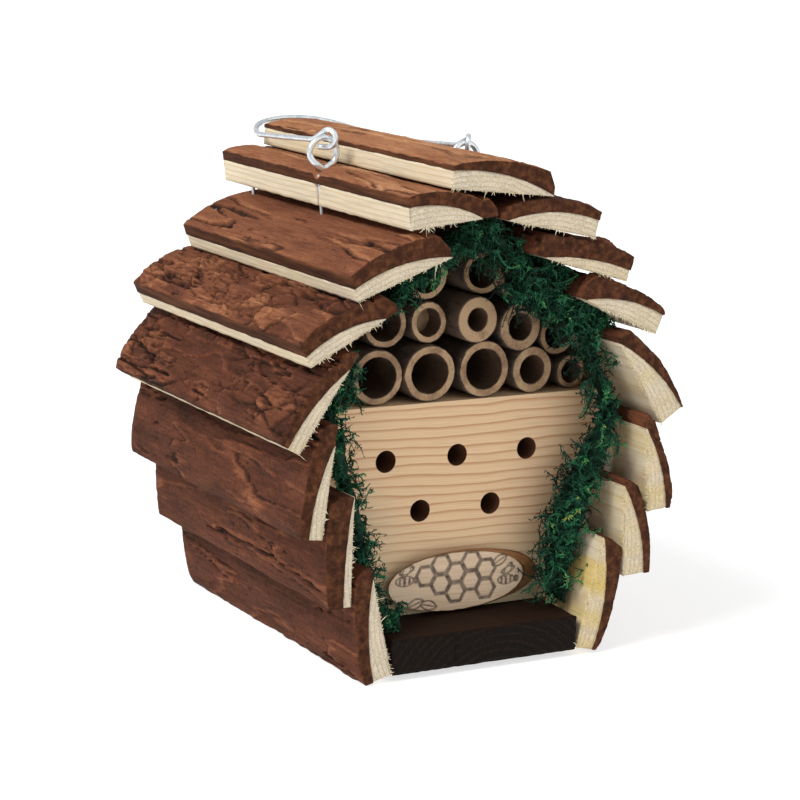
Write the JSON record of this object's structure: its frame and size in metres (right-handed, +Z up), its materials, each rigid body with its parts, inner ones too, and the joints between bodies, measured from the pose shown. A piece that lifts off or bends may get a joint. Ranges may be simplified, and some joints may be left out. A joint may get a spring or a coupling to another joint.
{
  "type": "insect hotel",
  "caption": "Hanging barrel-shaped insect house of lapped bark slabs round a drilled wood block and bamboo canes, with a wire bail.",
  "frame": {"origin": "middle of the base board's underside", "axes": "+Z up, the open front with the block and canes faces -Y, +X to the right seen from the front"},
  "size_m": [0.1624, 0.1465, 0.1835],
  "materials": {
    "sawn_wood": "matt, sawn, unfinished",
    "bark": "rough, natural bark",
    "bamboo": "dry, weathered",
    "stained_wood": "dark stain, matt",
    "back_wood": "matt plywood",
    "pine_block": "planed, unfinished",
    "plaque_wood": "sanded, burned motif",
    "moss": "dyed dried moss",
    "brad_steel": "bright steel",
    "zinc_wire": "bright zinc plate",
    "galvanised_wire": "galvanised, semi-bright"
  },
  "bodies": {
    "house": {"slab_left_7": "sawn_wood", "slab_left_6": "sawn_wood", "slab_left_5": "sawn_wood", "slab_left_4": "sawn_wood", "slab_left_3": "sawn_wood", "slab_left_2": "sawn_wood", "slab_left_1": "sawn_wood", "slab_cap": "sawn_wood", "slab_right_1": "sawn_wood", "slab_right_2": "sawn_wood", "slab_right_3": "sawn_wood", "slab_right_4": "sawn_wood", "slab_right_5": "sawn_wood", "slab_right_6": "sawn_wood", "slab_right_7": "sawn_wood", "bark_left_7": "bark", "bark_left_6": "bark", "bark_left_5": "bark", "bark_left_4": "bark", "bark_left_3": "bark", "bark_left_2": "bark", "bark_left_1": "bark", "bark_cap": "bark", "bark_right_1": "bark", "bark_right_2": "bark", "bark_right_3": "bark", "bark_right_4": "bark", "bark_right_5": "bark", "bark_right_6": "bark", "bark_right_7": "bark", "cane_low_1": "bamboo", "cane_low_2": "bamboo", "cane_low_3": "bamboo", "cane_low_4": "bamboo", "cane_low_5": "bamboo", "cane_mid_1": "bamboo", "cane_mid_2": "bamboo", "cane_mid_3": "bamboo", "cane_mid_4": "bamboo", "cane_mid_5": "bamboo", "cane_top_1": "bamboo", "cane_top_2": "bamboo", "cane_top_3": "bamboo", "base_board": "stained_wood", "back_board": "back_wood", "drilled_block": "pine_block", "plaque": "plaque_wood", "moss_left": "moss", "moss_crown": "moss", "moss_right": "moss", "brads": "brad_steel", "screw_eye_left": "zinc_wire", "screw_eye_right": "zinc_wire"},
    "bail": {"bail": "galvanised_wire"}
  },
  "joints": [
    {"name": "bail_swing", "type": "hinge", "parent": "house", "child": "bail", "pos_m": [-0.03157, 0.002, 0.17757], "axis": [0.9984, 0, -0.0573], "range_deg": [0, 180]}
  ]
}
